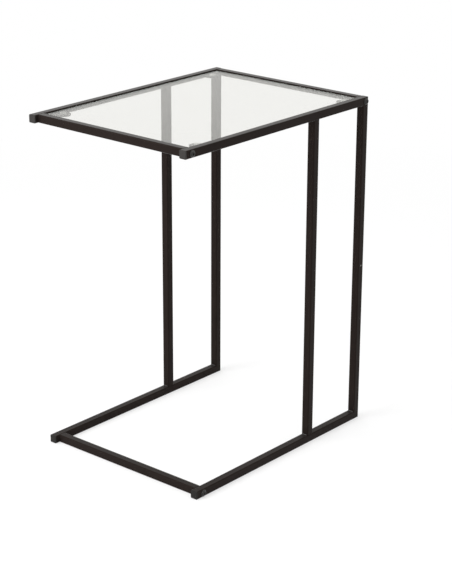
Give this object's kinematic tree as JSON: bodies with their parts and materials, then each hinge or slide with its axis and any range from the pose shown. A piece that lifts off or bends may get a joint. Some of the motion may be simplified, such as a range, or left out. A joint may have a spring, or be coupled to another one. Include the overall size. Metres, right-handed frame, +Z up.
{
  "type": "c-shaped side table",
  "caption": "C-shaped side table: black square-tube steel side frames joined by bolted cross rails, with a clear glass top dropped in on four padded tabs.",
  "frame": {"origin": "on the floor, under the middle of the table's bounding box", "axes": "+X across the table to its right, +Y from the open front towards the posts at the rear, +Z up"},
  "size_m": [0.3768, 0.5, 0.64],
  "materials": {
    "frame_paint": "satin black powder coat",
    "zinc_steel": "zinc plated",
    "black_bolt": "black oxide",
    "cap_plastic": "fine matt grain",
    "clear_pad": "clear soft polyurethane",
    "clear_glass": "polished, ground edges"
  },
  "bodies": {
    "frame": {"left_top_rail": "frame_paint", "left_base_rail": "frame_paint", "left_rear_post": "frame_paint", "left_inner_post": "frame_paint", "left_frame_welds": "frame_paint", "right_top_rail": "frame_paint", "right_base_rail": "frame_paint", "right_rear_post": "frame_paint", "right_inner_post": "frame_paint", "right_frame_welds": "frame_paint", "front_top_cross_rail": "frame_paint", "front_top_inserts": "zinc_steel", "front_top_bolts": "black_bolt", "rear_top_cross_rail": "frame_paint", "rear_top_inserts": "zinc_steel", "rear_top_bolts": "black_bolt", "front_base_cross_rail": "frame_paint", "front_base_inserts": "zinc_steel", "front_base_bolts": "black_bolt", "left_top_end_cap": "cap_plastic", "left_base_end_cap": "cap_plastic", "right_top_end_cap": "cap_plastic", "right_base_end_cap": "cap_plastic", "front_left_glass_tab": "frame_paint", "front_left_glass_pad": "clear_pad", "front_right_glass_tab": "frame_paint", "front_right_glass_pad": "clear_pad", "rear_left_glass_tab": "frame_paint", "rear_left_glass_pad": "clear_pad", "rear_right_glass_tab": "frame_paint", "rear_right_glass_pad": "clear_pad"},
    "glass": {"glass_top": "clear_glass"}
  },
  "joints": [
    {"name": "glass_lift_out", "type": "slide", "parent": "frame", "child": "glass", "axis": [0, 0, 1], "range_m": [0, 0.06]}
  ]
}
